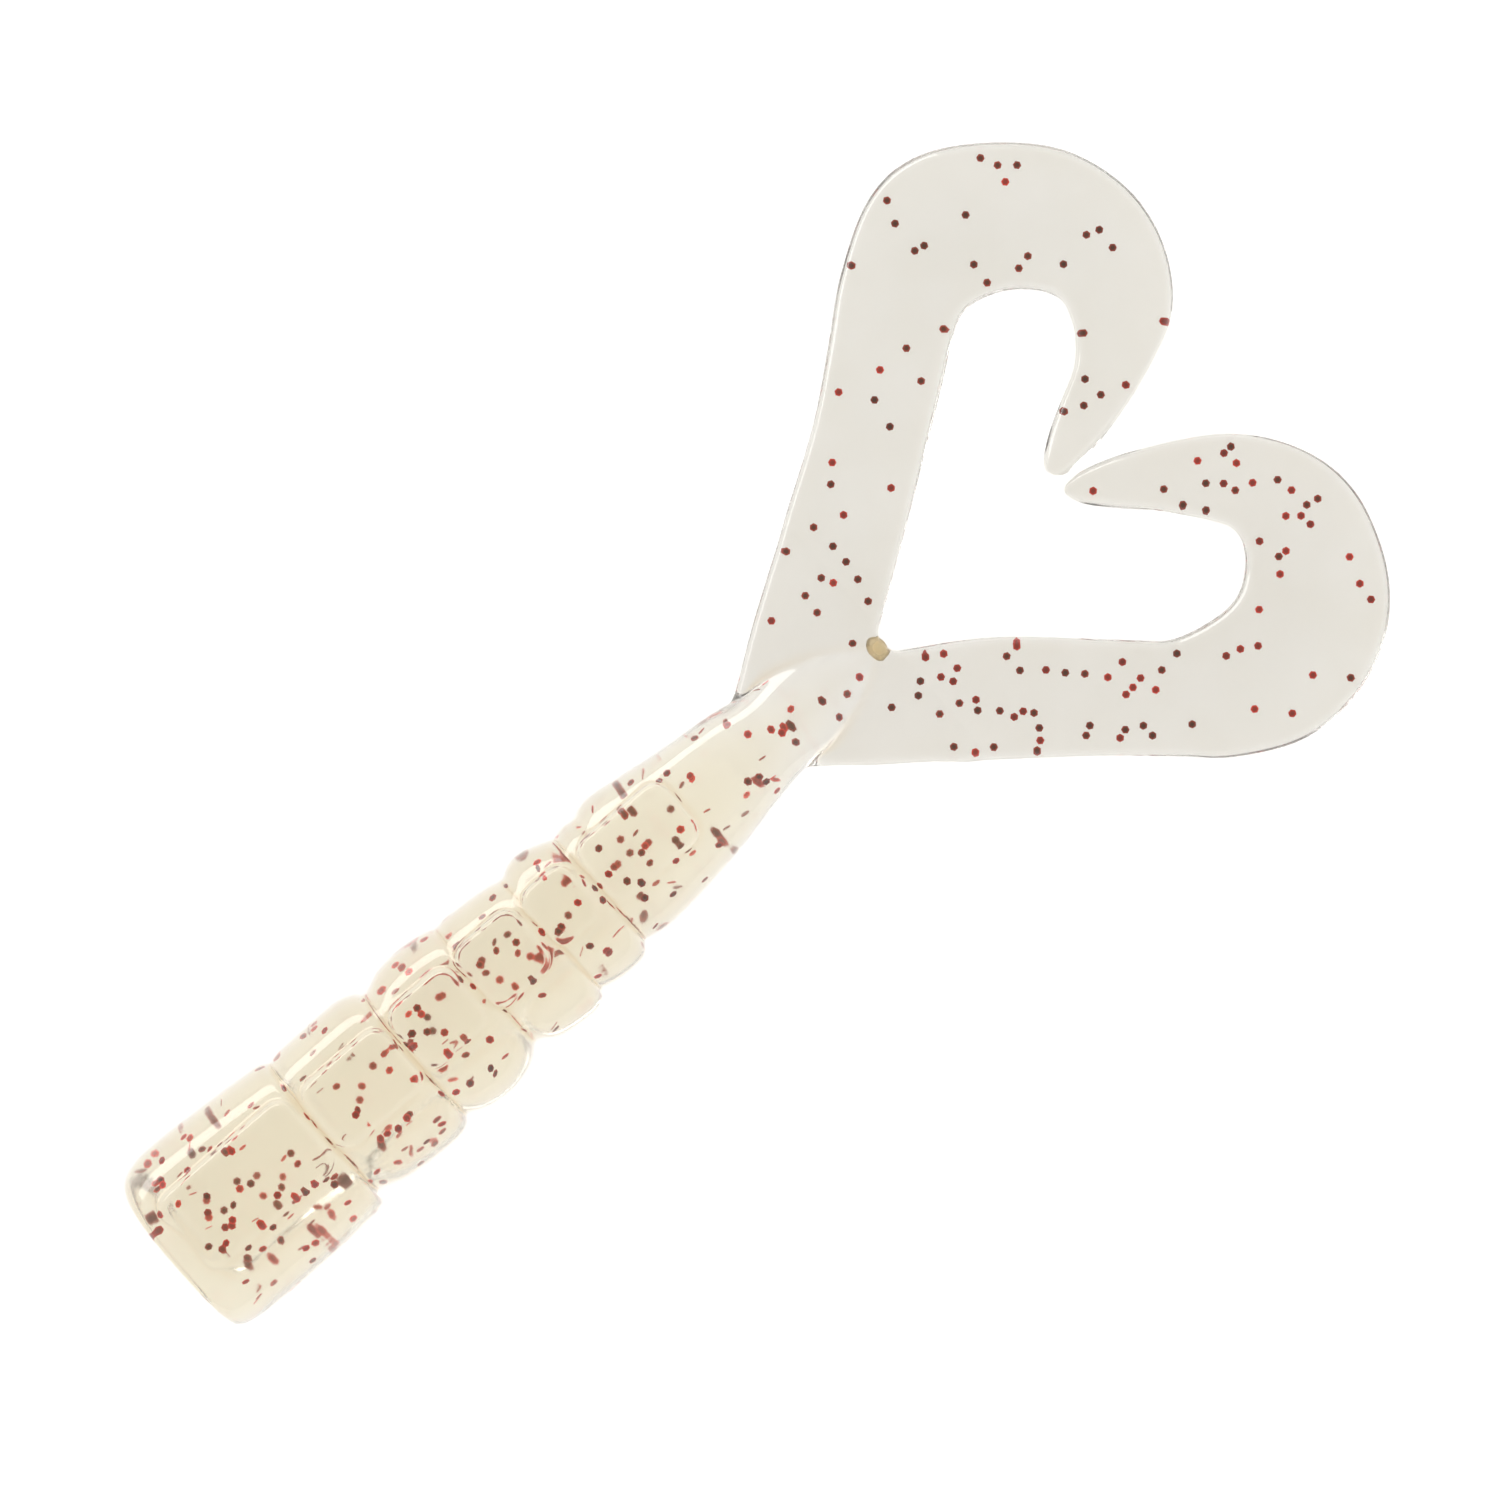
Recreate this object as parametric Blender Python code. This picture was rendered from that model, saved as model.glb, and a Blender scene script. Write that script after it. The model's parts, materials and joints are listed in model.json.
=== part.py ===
"""Twin-tail soft plastic worm for a jig hook.

+X runs from the head to the tails, +Z is up, and the origin is under the middle of the whole worm,
on the surface that its belly rests on. Left and right are the worm's own, with its head in front,
so the right tail lies at +Y. The real worm is cast in one piece, and it flexes where it is thin: at
the grooves between the body's rings and along the flat tails. Each stretch between two such flex
lines is an object of its own, and it hinges on the one before it.
"""

import math

import bmesh
import bpy
from mathutils import Matrix, Vector

MM = 0.001
LENGTH = 77.0 * MM  # head to the outermost point of the curled tails
PARTING_Z = 4.6 * MM  # the mould's parting plane, which the flat tails lie in
BELLY = PARTING_Z / MM  # the rings' bellies lie on the surface that the head rests on
GAP = 0.3 * MM  # left open at every flex line

# Body: each stretch's name, its front and rear stations from the head, and half-widths on the right
# and on the left at its front, its crown and its rear lip, then heights above the parting plane.
RINGS = (
    ("ring_2", 10.6, 16.9, (4.75, 4.70, 4.40), (5.00, 5.25, 5.30), (4.20, 4.25, 4.10)),
    ("ring_3", 16.9, 22.2, (4.25, 4.65, 4.40), (5.00, 5.20, 4.95), (4.05, 4.20, 3.95)),
    ("ring_4", 22.2, 26.6, (4.25, 4.25, 4.00), (4.60, 4.90, 4.85), (3.85, 3.95, 3.75)),
    ("ring_5", 26.6, 30.3, (4.10, 4.45, 3.95), (4.45, 4.45, 4.35), (3.60, 3.75, 3.50)),
)
HEAD_LENGTH = 10.6
HEAD_RIGHT = (4.90, 5.40, 5.20, 4.85)
HEAD_LEFT = (5.20, 5.70, 5.65, 5.55)
HEAD_HEIGHT = (4.20, 4.55, 4.55, 4.45)
HEAD_STATIONS = (0.0, 0.9, 5.5, 10.45)
FRONT_LIFT = 0.3 * MM  # the front face's lower edge is rounded up off the table
SHOULDER = (30.3, 36.9)  # the smooth stretch behind the last ring
SHOULDER_RIGHT = (3.85, 4.20, 3.75)
SHOULDER_LEFT = (3.95, 4.00, 3.60)
SHOULDER_HEIGHT = (3.45, 3.60, 3.15)
SHOULDER_BELLY = (3.85, 3.25)  # depth below the parting plane at its front and its rear
STEM = (36.9, 43.2, 46.0, 48.6, 49.85)  # tapers to a point on top of the web between the tails
STEM_HALF_WIDTH = (3.55, 2.60, 1.75, 0.85, 0.40)
STEM_HEIGHT = (3.05, 2.30, 1.55, 0.85, 0.62)

SECTION_POINTS = 24
SQUARENESS = 2.6  # exponent of the section's outline: 2 is an ellipse, and more is squarer
PAD_SHARE = 0.93  # the outline's top and belly are cut flat at this share of its height
# The front of each stretch is domed, so that it can turn inside the lip of the one before it.
DOME = ((0.0, 0.36), (0.25, 0.70), (0.55, 0.90), (0.85, 1.0))
LIP_BEVEL = 0.25
LIP_TRIM = 0.97  # how much narrower the lip's rear face is than the lip

# Tails: each rib is a line across the strip, from its outer edge to its inner edge, as stations from
# the head and distances from the body's middle. The edges are smooth curves through the ribs' ends.
TAIL_THICKNESS = 1.1 * MM
EDGE_LAND = 0.15 * MM  # half the height of the narrow upright land along the edges
EDGE_DRAFT = 0.40 * MM  # how far the flat faces lie inside the edges
RIGHT_RIBS = (
    ((51.50, 8.85), (51.50, 0.98)),
    ((55.75, 11.55), (55.75, 3.85)),
    ((59.15, 14.25), (62.40, 8.50)),
    ((62.15, 16.70), (64.20, 9.85)),
    ((65.95, 18.80), (65.95, 10.75)),
    ((69.30, 18.90), (68.00, 10.30)),
    ((72.70, 17.05), (69.50, 9.20)),
    ((75.70, 14.00), (70.25, 7.95)),
    ((77.00, 10.20), (70.10, 6.90)),
    ((76.55, 6.55), (69.50, 5.75)),
    ((74.55, 3.45), (68.40, 4.60)),
    ((71.35, 1.80), (66.90, 3.80)),
    ((67.45, 0.70), (65.25, 2.90)),
    ((64.55, 0.40), (64.00, 2.00)),
    ((63.98, 0.66), (63.66, 1.50)),
)
LEFT_RIBS = (
    ((51.50, 8.95), (51.50, 0.98)),
    ((55.75, 12.35), (55.75, 3.75)),
    ((59.00, 15.20), (60.95, 8.45)),
    ((61.30, 17.20), (62.85, 10.05)),
    ((64.85, 18.90), (65.40, 10.70)),
    ((68.65, 18.85), (67.10, 10.55)),
    ((71.90, 17.40), (68.35, 9.70)),
    ((74.15, 14.90), (69.10, 8.65)),
    ((75.50, 11.35), (69.20, 7.65)),
    ((75.45, 8.35), (68.65, 6.65)),
    ((74.15, 5.50), (67.85, 5.60)),
    ((71.90, 3.15), (66.75, 4.25)),
    ((68.10, 1.00), (65.20, 2.75)),
    ((65.40, -0.05), (63.95, 1.35)),
    ((64.05, -0.18), (63.56, 0.38)),
)
TIP_ROUND = 0.12  # how far the blunt tip stands past the last rib
TIP_NARROWING = 0.7  # its width there as a share of the last rib's
# Each stretch of a tail runs from one rib to another; halves lie midway between two ribs.
TAIL_PARTS = (
    ("blade_front", 0, 1),
    ("blade_rear", 1, 2),
    ("curl_start", 2, 4.5),
    ("curl_top", 4.5, 7),
    ("curl_end", 7, 9.5),
    ("hook", 9.5, 11.5),
    ("tip", 11.5, 14),
)
STEPS_PER_RIB = 3
# Root plates: station, outer edge and inner edge, beside the stem and the gate nub.
RIGHT_ROOT = (
    (43.5, 3.70, 2.95),
    (46.0, 5.35, 2.20),
    (48.6, 7.00, 1.30),
    (49.9, 7.80, 1.00),
    (51.0, 8.50, 0.98),
    (51.35, 8.75, 1.05),
)
LEFT_ROOT = (
    (44.4, 3.25, 2.65),
    (46.0, 4.60, 2.20),
    (48.6, 6.60, 1.30),
    (49.9, 7.75, 1.00),
    (51.0, 8.55, 0.98),
    (51.35, 8.85, 1.05),
)
GATE_NUB = ((50.2, 0.45), (51.1, 0.65))  # station and half-width at its front and its rear
GATE_HEIGHT = 1.5 * MM

CREAM = (0.86, 0.82, 0.66)
PALE_GREY = (0.80, 0.79, 0.74)
TAN = (0.70, 0.58, 0.36)


def clear_scene():
    for obj in list(bpy.data.objects):
        bpy.data.objects.remove(obj, do_unlink=True)


def plastic(name, colour, alpha):
    material = bpy.data.materials.new(name)
    material.use_nodes = True
    shader = material.node_tree.nodes["Principled BSDF"]
    shader.inputs["Base Color"].default_value = (*colour, 1.0)
    shader.inputs["Roughness"].default_value = 0.18
    shader.inputs["Metallic"].default_value = 0.0
    shader.inputs["Alpha"].default_value = alpha
    return material


def world_x(station):
    """World X, in metres, of a station measured from the head's front in millimetres."""
    return station * MM - LENGTH / 2


def body_section(station, right, left, height, belly, size=1.0):
    """One outline of the body: a squared ellipse cut flat on top and at the belly."""
    points = []
    for i in range(SECTION_POINTS):
        angle = 2 * math.pi * i / SECTION_POINTS
        across = math.copysign(abs(math.cos(angle)) ** (2 / SQUARENESS), math.cos(angle))
        up = math.copysign(abs(math.sin(angle)) ** (2 / SQUARENESS), math.sin(angle))
        half_width = right if across > 0 else left
        half_height = height if up > 0 else belly
        up = max(-1.0, min(1.0, up / PAD_SHARE))
        offset = Vector((0, across * half_width * MM, up * half_height * MM)) * size
        points.append(Vector((world_x(station), 0, PARTING_Z)) + offset)
    return points


def loft(name, sections, material, pivot):
    """A closed solid through the sections, with its origin on its joint's axis."""
    bm = bmesh.new()
    loops = []
    for points in sections:
        verts = [bm.verts.new(point) for point in points]
        loops.append([bm.edges.new((a, b)) for a, b in zip(verts, verts[1:] + verts[:1])])
    for edges in (loops[0], loops[-1]):
        bmesh.ops.contextual_create(bm, geom=edges)
    for near, far in zip(loops, loops[1:]):
        bmesh.ops.bridge_loops(bm, edges=near + far)
    bmesh.ops.recalc_face_normals(bm, faces=bm.faces)
    bm.transform(Matrix.Translation(-pivot))
    mesh = bpy.data.meshes.new(name)
    bm.to_mesh(mesh)
    bm.free()
    mesh.shade_smooth()
    mesh.set_sharp_from_angle(angle=math.radians(35))
    obj = bpy.data.objects.new(name, mesh)
    obj.location = pivot
    mesh.materials.append(material)
    bpy.context.scene.collection.objects.link(obj)
    return obj


def between(values, share):
    """The value at a share from 0 to 1 of the way along three values, as a smooth curve."""
    front, crown, rear = values
    curve = front * (1 - share) * (1 - 2 * share)
    curve += 4 * crown * share * (1 - share)
    return curve + rear * share * (2 * share - 1)


def head(material):
    sections = []
    for i, station in enumerate(HEAD_STATIONS):
        sections.append(body_section(station, HEAD_RIGHT[i], HEAD_LEFT[i], HEAD_HEIGHT[i], BELLY))
    sections[0] = [Vector((p.x, p.y, max(p.z, FRONT_LIFT))) for p in sections[0]]
    loft("head_block", sections, material, Vector((world_x(0), 0, PARTING_Z)))


def ring(name, front, rear, right, left, height, belly, material):
    """A stretch of the body: a domed front, a crowned side and a sharp rear lip."""
    start, end = front + GAP / MM / 2, rear - GAP / MM / 2
    sections = []
    for depth, size in DOME:
        share = depth / (end - start)
        sections.append(
            body_section(
                start + depth, between(right, share), between(left, share),
                between(height, share), belly[0], size,
            )
        )
    for share in (0.5, 1 - LIP_BEVEL / (end - start), 1.0):
        trim = LIP_TRIM if share == 1.0 else 1.0
        sections.append(
            body_section(
                start + share * (end - start), between(right, share), between(left, share),
                between(height, share), belly[0] + (belly[1] - belly[0]) * share, trim,
            )
        )
    loft(name, sections, material, Vector((world_x(front), 0, PARTING_Z)))


def stem(material):
    start = STEM[0] + GAP / MM / 2
    right_left = STEM_HALF_WIDTH[0]
    sections = [
        body_section(start + depth, right_left, right_left, STEM_HEIGHT[0], STEM_HEIGHT[0], size)
        for depth, size in DOME
    ]
    for i in range(1, len(STEM)):
        half_width = STEM_HALF_WIDTH[i]
        sections.append(body_section(STEM[i], half_width, half_width, STEM_HEIGHT[i], STEM_HEIGHT[i]))
    loft("stem", sections, material, Vector((world_x(STEM[0]), 0, PARTING_Z)))


def strip_section(outer, inner):
    """The tail's outline between two edge points: flat faces with drafted edges."""
    middle = (outer + inner) / 2
    reach = (outer - middle).length
    outward = (outer - middle).normalized()
    half = TAIL_THICKNESS / 2
    draft = min(EDGE_DRAFT, reach * 0.4)
    profile = (
        (reach, EDGE_LAND), (reach - draft, half), (draft - reach, half), (-reach, EDGE_LAND),
        (-reach, -EDGE_LAND), (draft - reach, -half), (reach - draft, -half), (reach, -EDGE_LAND),
    )
    return [middle + outward * y + Vector((0, 0, z)) for y, z in profile]


def edge_point(points, place):
    """A point on the smooth curve through the points, at a place counted in ribs."""
    i = min(int(place), len(points) - 2)
    t = place - i
    a, b, c, d = (points[min(max(k, 0), len(points) - 1)] for k in range(i - 1, i + 3))
    curve = 2 * b + (c - a) * t
    curve += (2 * a - 5 * b + 4 * c - d) * t**2
    curve += (3 * b - a - 3 * c + d) * t**3
    return curve / 2


def tail_edges(ribs, side):
    """The outer and inner edges' points in world space; side is +1 for the right tail."""
    return [
        [Vector((world_x(rib[k][0]), side * rib[k][1] * MM, PARTING_Z)) for rib in ribs]
        for k in (0, 1)
    ]


def tail_part(name, outer, inner, start, end, is_tip, material):
    """The strip from one rib to another, short of each by half the gap."""
    steps = math.ceil((end - start) * STEPS_PER_RIB)
    pairs = []
    for i in range(steps + 1):
        place = start + (end - start) * i / steps
        pairs.append([edge_point(outer, place), edge_point(inner, place)])
    pivot = (pairs[0][0] + pairs[0][1]) / 2
    for index, towards in ((0, 1), (-1, -2)):
        if index == -1 and is_tip:
            continue
        across = pairs[index][0] - pairs[index][1]
        square = across.cross(Vector((0, 0, 1))).normalized()
        onwards = (pairs[towards][0] + pairs[towards][1]) / 2 - (pairs[index][0] + pairs[index][1]) / 2
        square *= math.copysign(GAP / 2, square.dot(onwards))
        pairs[index] = [point + square for point in pairs[index]]
    sections = [strip_section(*pair) for pair in pairs]
    if is_tip:
        last, before = pairs[-1], pairs[-2]
        onwards = ((last[0] + last[1]) - (before[0] + before[1])).normalized() * TIP_ROUND * MM
        middle = (last[0] + last[1]) / 2
        nose = [middle + (point - middle) * TIP_NARROWING + onwards for point in last]
        sections.append(strip_section(*nose))
    loft(name, sections, material, pivot)


def tail_root(name, stations, side, material):
    sections = []
    for station, outer, inner in stations:
        ends = [Vector((world_x(station), side * y * MM, PARTING_Z)) for y in (outer, inner)]
        sections.append(strip_section(*ends))
    loft(name, sections, material, Vector((world_x(STEM[0]), 0, PARTING_Z)))


def gate_nub(material):
    sections = []
    for station, half_width in GATE_NUB:
        points = []
        for y, z in ((1, -1), (1, 1), (-1, 1), (-1, -1)):
            points.append(Vector((world_x(station), y * half_width * MM, PARTING_Z + z * GATE_HEIGHT / 2)))
        sections.append(points)
    loft("gate_nub", sections, material, Vector((world_x(STEM[0]), 0, PARTING_Z)))


def main():
    clear_scene()
    body_plastic = plastic("cream_plastisol", CREAM, 0.9)
    tail_plastic = plastic("pale_plastisol", PALE_GREY, 0.8)
    nub_plastic = plastic("tan_plastisol", TAN, 1.0)
    head(body_plastic)
    for name, front, rear, right, left, height in RINGS:
        ring(name, front, rear, right, left, height, (BELLY, BELLY), body_plastic)
    ring(
        "shoulder", *SHOULDER, SHOULDER_RIGHT, SHOULDER_LEFT, SHOULDER_HEIGHT, SHOULDER_BELLY,
        body_plastic,
    )
    stem(body_plastic)
    gate_nub(nub_plastic)
    for prefix, ribs, root, side in (
        ("right_tail", RIGHT_RIBS, RIGHT_ROOT, 1),
        ("left_tail", LEFT_RIBS, LEFT_ROOT, -1),
    ):
        tail_root(f"{prefix}_root", root, side, tail_plastic)
        outer, inner = tail_edges(ribs, side)
        for name, start, end in TAIL_PARTS:
            tail_part(f"{prefix}_{name}", outer, inner, start, end, name == "tip", tail_plastic)


if __name__ == "__main__":
    main()
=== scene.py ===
"""Twin-tail soft plastic worm: one translucent casting with glitter flake inside it.

The casting is modelled as it is moulded, as one fused shape: cups for the rings, pads on their
tops and bellies, a wedge for the stem and two ribbons for the tails. It is then cut halfway between
the flex lines, so that each piece bends across one joint. Lengths below are in millimetres unless
they say otherwise, a station is a distance from the head's front face, and right is the side at +Y.
"""

import json
import math
import random

import bmesh
import bpy
import numpy as np
from bpy.props import FloatProperty, FloatVectorProperty, IntProperty, PointerProperty
from mathutils import Matrix, Vector, noise

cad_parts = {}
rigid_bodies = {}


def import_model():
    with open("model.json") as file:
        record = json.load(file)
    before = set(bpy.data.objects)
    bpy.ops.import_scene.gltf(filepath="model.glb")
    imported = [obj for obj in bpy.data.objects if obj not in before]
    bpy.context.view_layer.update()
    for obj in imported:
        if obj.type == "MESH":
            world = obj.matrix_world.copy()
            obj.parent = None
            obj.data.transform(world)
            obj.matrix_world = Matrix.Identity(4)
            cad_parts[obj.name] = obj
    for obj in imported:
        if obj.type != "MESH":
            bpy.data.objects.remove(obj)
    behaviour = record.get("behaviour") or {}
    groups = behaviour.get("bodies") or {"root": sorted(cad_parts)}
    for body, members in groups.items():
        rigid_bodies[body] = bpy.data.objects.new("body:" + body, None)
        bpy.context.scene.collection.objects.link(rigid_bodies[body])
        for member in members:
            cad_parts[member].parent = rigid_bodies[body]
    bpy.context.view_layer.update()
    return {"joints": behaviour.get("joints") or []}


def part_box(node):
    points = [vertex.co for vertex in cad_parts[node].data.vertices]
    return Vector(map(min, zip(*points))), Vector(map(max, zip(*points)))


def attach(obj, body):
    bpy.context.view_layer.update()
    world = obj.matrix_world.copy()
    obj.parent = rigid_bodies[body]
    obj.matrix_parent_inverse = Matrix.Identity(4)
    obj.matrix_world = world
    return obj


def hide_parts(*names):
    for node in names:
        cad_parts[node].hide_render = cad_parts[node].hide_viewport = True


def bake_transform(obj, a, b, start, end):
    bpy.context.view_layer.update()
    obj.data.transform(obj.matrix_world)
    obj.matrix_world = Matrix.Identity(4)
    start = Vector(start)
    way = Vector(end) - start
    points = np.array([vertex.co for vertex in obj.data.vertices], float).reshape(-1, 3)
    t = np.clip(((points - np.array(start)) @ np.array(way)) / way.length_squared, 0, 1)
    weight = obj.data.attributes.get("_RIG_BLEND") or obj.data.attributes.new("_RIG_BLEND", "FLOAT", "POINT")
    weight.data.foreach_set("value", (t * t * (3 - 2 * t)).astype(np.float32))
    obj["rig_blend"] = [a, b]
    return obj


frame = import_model()

bl_info = {
    "name": "Twin-tail Soft Worm",
    "version": (1, 0, 0),
    "blender": (4, 5, 0),
    "location": "View3D > Sidebar > Soft Worm",
    "description": "Casts a translucent ringed worm with two curled tails and glitter flake",
    "category": "Add Mesh",
}

MM = 0.001
FRONT_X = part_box("head_block")[0].x
BLADE_LOW, BLADE_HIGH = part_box("right_tail_blade_front")
PARTING_Z = (BLADE_LOW.z + BLADE_HIGH.z) / 2
TAIL_THICKNESS = (BLADE_HIGH.z - BLADE_LOW.z) / MM
BELLY = (PARTING_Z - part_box("head_block")[0].z) / MM

# Cups: each is a list of stations with the half-widths on the right and on the left, the height of
# the crown and the depth of the belly, from the parting plane. The front of each sits in the rear
# lip of the one before it.
HEAD_CUP = (
    (0.00, 3.30, 4.50, 3.30, 3.40),
    (0.12, 4.05, 5.00, 3.75, 3.85),
    (0.45, 4.70, 5.30, 4.05, 4.15),
    (1.10, 5.12, 5.50, 4.22, 4.32),
    (2.40, 5.36, 5.60, 4.30, 4.50),
    (6.20, 5.20, 5.62, 4.30, 4.50),
    (9.70, 4.92, 5.44, 4.25, 4.45),
    (10.40, 4.80, 5.28, 4.15, 4.42),
    (10.68, 4.55, 4.95, 3.95, 4.30),
)
RING_CUPS = (
    (
        (10.10, 4.10, 4.00, 3.70, 4.25),
        (10.80, 4.50, 4.50, 3.95, 4.36),
        (11.30, 4.68, 4.72, 4.05, 4.50),
        (12.50, 4.74, 5.10, 4.15, 4.50),
        (15.60, 4.74, 5.28, 4.15, 4.50),
        (16.50, 4.48, 5.12, 4.05, 4.44),
        (16.95, 4.12, 4.72, 3.85, 4.30),
    ),
    (
        (16.40, 3.70, 4.10, 3.60, 4.25),
        (17.30, 4.05, 4.64, 3.90, 4.36),
        (18.30, 4.48, 5.06, 4.05, 4.50),
        (19.80, 4.64, 5.20, 4.10, 4.50),
        (21.20, 4.52, 4.90, 4.05, 4.50),
        (22.00, 4.34, 4.40, 3.90, 4.44),
        (22.50, 4.02, 3.90, 3.65, 4.30),
    ),
    (
        (21.80, 3.80, 3.60, 3.40, 4.25),
        (22.70, 4.26, 4.10, 3.70, 4.36),
        (23.70, 4.26, 4.70, 3.85, 4.50),
        (25.50, 4.12, 4.90, 3.85, 4.50),
        (26.45, 3.94, 4.82, 3.75, 4.44),
        (26.90, 3.66, 4.46, 3.55, 4.30),
    ),
    (
        (26.30, 3.50, 3.70, 3.20, 4.25),
        (26.95, 3.92, 4.12, 3.50, 4.36),
        (27.60, 4.28, 4.34, 3.60, 4.50),
        (28.60, 4.30, 4.48, 3.62, 4.50),
        (29.60, 3.98, 4.46, 3.58, 4.50),
        (30.10, 3.78, 4.28, 3.48, 4.44),
        (30.45, 3.50, 3.86, 3.28, 4.30),
    ),
)
STEM_CUP = (
    (29.90, 3.30, 3.30, 2.95, 4.00),
    (30.50, 3.70, 3.66, 3.20, 4.10),
    (31.10, 3.88, 3.86, 3.32, 4.10),
    (31.85, 3.78, 3.97, 3.35, 4.04),
    (32.40, 4.06, 3.99, 3.36, 3.98),
    (33.20, 4.18, 3.96, 3.36, 3.90),
    (35.00, 3.95, 3.78, 3.24, 3.60),
    (37.70, 3.56, 3.38, 2.90, 3.05),
    (40.90, 3.28, 2.72, 2.50, 2.25),
    (43.10, 2.92, 2.40, 2.14, 1.60),
    (45.50, 2.95, 2.50, 1.72, 1.05),
    (47.50, 2.55, 2.20, 1.30, 0.75),
    (49.00, 1.85, 1.65, 0.92, 0.60),
    (50.10, 1.10, 1.00, 0.60, 0.56),
)
# Pads: the raised flat faces on top and at the belly. Each has its front and rear stations, its
# right and left edges, its height above the parting plane and its depth below it. The last one's
# belly stays inside the stem.
PADS = (
    (1.30, 10.50, 2.85, 2.20, 4.31, 4.60),
    (10.98, 16.90, 2.40, 1.95, 4.26, 4.60),
    (17.25, 21.75, 2.50, 1.70, 4.18, 4.60),
    (22.05, 26.40, 2.62, 1.58, 3.97, 4.60),
    (26.72, 30.10, 2.56, 1.26, 3.73, 4.60),
    (30.70, 36.85, 2.60, 1.50, 3.40, 2.40),
)
PAD_CORNER = 1.0  # round of a pad's upright corners
PAD_EDGE = 0.45  # round of the edges of its flat faces
SECTION_POINTS = 56
SECTION_STEP = 0.22  # distance between the sections of a cup
SQUARENESS = 2.35  # exponent of the section's outline: 2 is an ellipse, and more is squarer
WEDGE_SQUARENESS = 1.35  # at the stem's thin end, where it sinks into the web
WEDGE = (39.0, 46.5)  # stations that the section changes between

# Tails: each rib is a line across the strip, from its outer edge to its inner edge, as stations and
# distances from the body's middle. The edges are smooth curves through the ribs' ends.
RIGHT_RIBS = (
    ((51.50, 8.85), (51.50, 0.98)),
    ((55.75, 11.55), (55.75, 3.85)),
    ((59.15, 14.25), (62.40, 8.50)),
    ((62.15, 16.70), (64.20, 9.85)),
    ((65.95, 18.80), (65.95, 10.75)),
    ((69.30, 18.90), (68.00, 10.30)),
    ((72.70, 17.05), (69.50, 9.20)),
    ((75.70, 14.00), (70.25, 7.95)),
    ((77.00, 10.20), (70.10, 6.90)),
    ((76.55, 6.55), (69.50, 5.75)),
    ((74.55, 3.45), (68.40, 4.60)),
    ((71.35, 1.80), (66.90, 3.80)),
    ((67.45, 0.70), (65.25, 2.90)),
    ((64.55, 0.44), (64.00, 2.00)),
    ((63.98, 0.66), (63.66, 1.50)),
)
LEFT_RIBS = (
    ((51.50, 8.95), (51.50, 0.98)),
    ((55.75, 12.35), (55.75, 3.75)),
    ((59.00, 15.20), (60.95, 8.45)),
    ((61.30, 17.20), (62.85, 10.05)),
    ((64.85, 18.90), (65.40, 10.70)),
    ((68.65, 18.85), (67.10, 10.55)),
    ((71.90, 17.40), (68.35, 9.70)),
    ((74.15, 14.90), (69.10, 8.65)),
    ((75.50, 11.35), (69.20, 7.65)),
    ((75.45, 8.35), (68.65, 6.65)),
    ((74.15, 5.50), (67.85, 5.60)),
    ((71.90, 3.15), (66.75, 4.25)),
    ((68.10, 1.00), (65.20, 2.75)),
    ((65.40, -0.03), (63.95, 1.35)),
    ((64.05, -0.12), (63.56, 0.40)),
)
# Roots: the ribbons start inside the stem and cross the middle, so that they fill the web.
RIGHT_ROOT = (
    ((41.00, 2.40), (41.00, -0.60)),
    ((42.70, 3.12), (42.70, -0.60)),
    ((43.50, 3.62), (43.50, -0.60)),
    ((46.00, 5.35), (46.00, -0.60)),
    ((48.60, 7.00), (48.60, -0.60)),
    ((49.90, 7.80), (49.90, -0.50)),
    ((50.60, 8.26), (50.60, -0.25)),
    ((50.95, 8.48), (50.92, 0.45)),
    ((51.20, 8.65), (51.18, 0.78)),
)
LEFT_ROOT = (
    ((42.00, 2.00), (42.00, -0.60)),
    ((43.20, 2.36), (43.20, -0.60)),
    ((44.40, 3.25), (44.40, -0.60)),
    ((46.00, 4.60), (46.00, -0.60)),
    ((48.60, 6.60), (48.60, -0.60)),
    ((49.90, 7.75), (49.90, -0.50)),
    ((50.60, 8.26), (50.60, -0.25)),
    ((50.95, 8.52), (50.92, 0.45)),
    ((51.20, 8.72), (51.18, 0.78)),
)
EDGE_LAND = 0.15  # half the height of the upright land along the tails' edges
EDGE_DRAFT = 0.42  # how far the flat faces lie inside the edges
DRAFT_SHARE = 0.4  # the most of a narrow tip's half-width that the drafted edge takes up
TIP_ROUND = ((0.09, 0.85), (0.14, 0.55))  # past the last rib: distance, and share of its width
STEPS_PER_RIB = 6

# Creases: painted shade, a tan tint laid into the grooves by their depth to stand in for the darkening that
# light gets there.
CREASE_PASSES = 21  # rounds of smoothing that a groove's depth is measured against
CREASE_DEPTH = 0.05  # a groove this deep under the smoothed surface is fully tinted
CREASE_FADE = (40.0, 48.0)  # stations that the tint fades between, towards the web
CREASE_LEFT = 0.25  # share of the tint that is left there

# Cuts: stations across the body, then places along each tail, counted in ribs.
BODY_CUTS = (13.75, 19.55, 24.40, 28.45, 33.60, 51.16)
TAIL_CUTS = (0.5, 1.5, 3.25, 5.75, 8.25, 10.5)
BODY_CHAIN = ("head", "ring_2", "ring_3", "ring_4", "ring_5", "shoulder", "fork")
BODY_NODES = {
    "head": ("head_block",), "shoulder": ("shoulder", "stem", "right_tail_root", "left_tail_root"),
}
TAIL_CHAIN = ("blade_front", "blade_rear", "curl_start", "curl_top", "curl_end", "hook", "tip")
CUT_BAND = 0.6  # only faces this close to a cut's plane are cut
BODY_CUT_REACH = 12.0  # and, in the body, this close to its middle
TAIL_CUT_SPARE = 1.0  # or, in a tail, no further out than this past the tail's edges
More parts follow.
